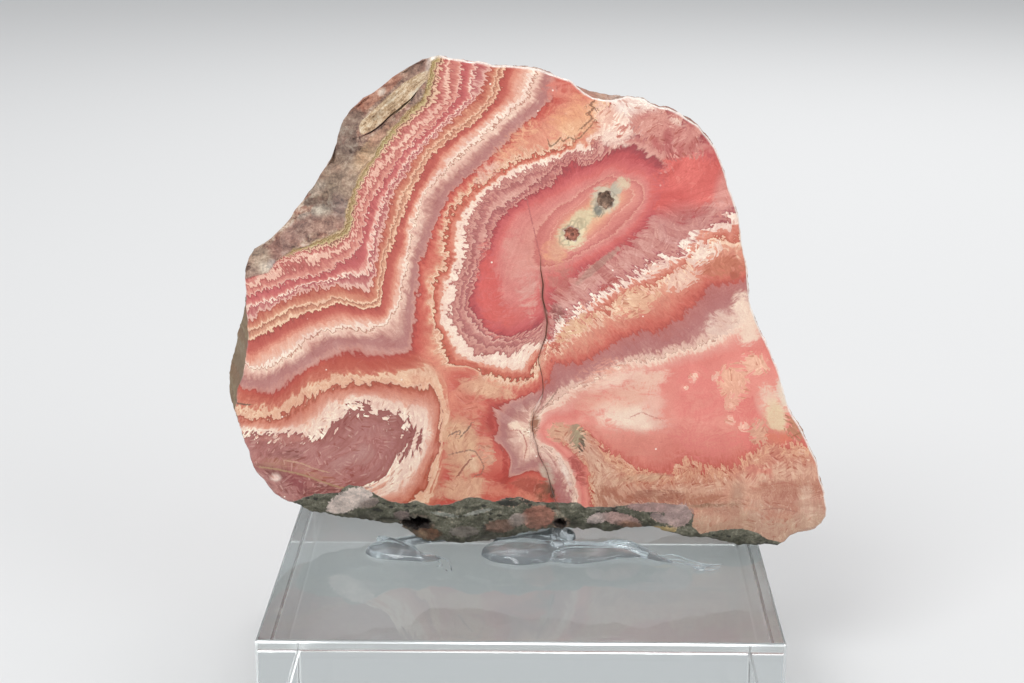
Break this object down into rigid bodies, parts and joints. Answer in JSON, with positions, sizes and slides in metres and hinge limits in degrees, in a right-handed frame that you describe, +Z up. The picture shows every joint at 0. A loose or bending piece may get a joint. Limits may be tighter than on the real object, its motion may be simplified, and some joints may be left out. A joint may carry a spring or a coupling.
{
  "type": "rhodochrosite slice on a clear display block",
  "caption": "Polished slice of banded pink rhodochrosite with a rough rind, glued upright on a square block of clear acrylic.",
  "frame": {"origin": "centre of the acrylic block's underside", "axes": "+Z up, the polished face of the slice looks along -Y, +X to the right of someone looking at it"},
  "size_m": [0.1271, 0.1, 0.1335],
  "materials": {
    "rhodochrosite": "polished",
    "clear_acrylic": "polished",
    "clear_glue": "gloss"
  },
  "bodies": {
    "root": {"rhodochrosite_slice": "rhodochrosite", "acrylic_block": "clear_acrylic", "glue_bead_left": "clear_glue", "glue_bead_main": "clear_glue"}
  },
  "joints": []
}
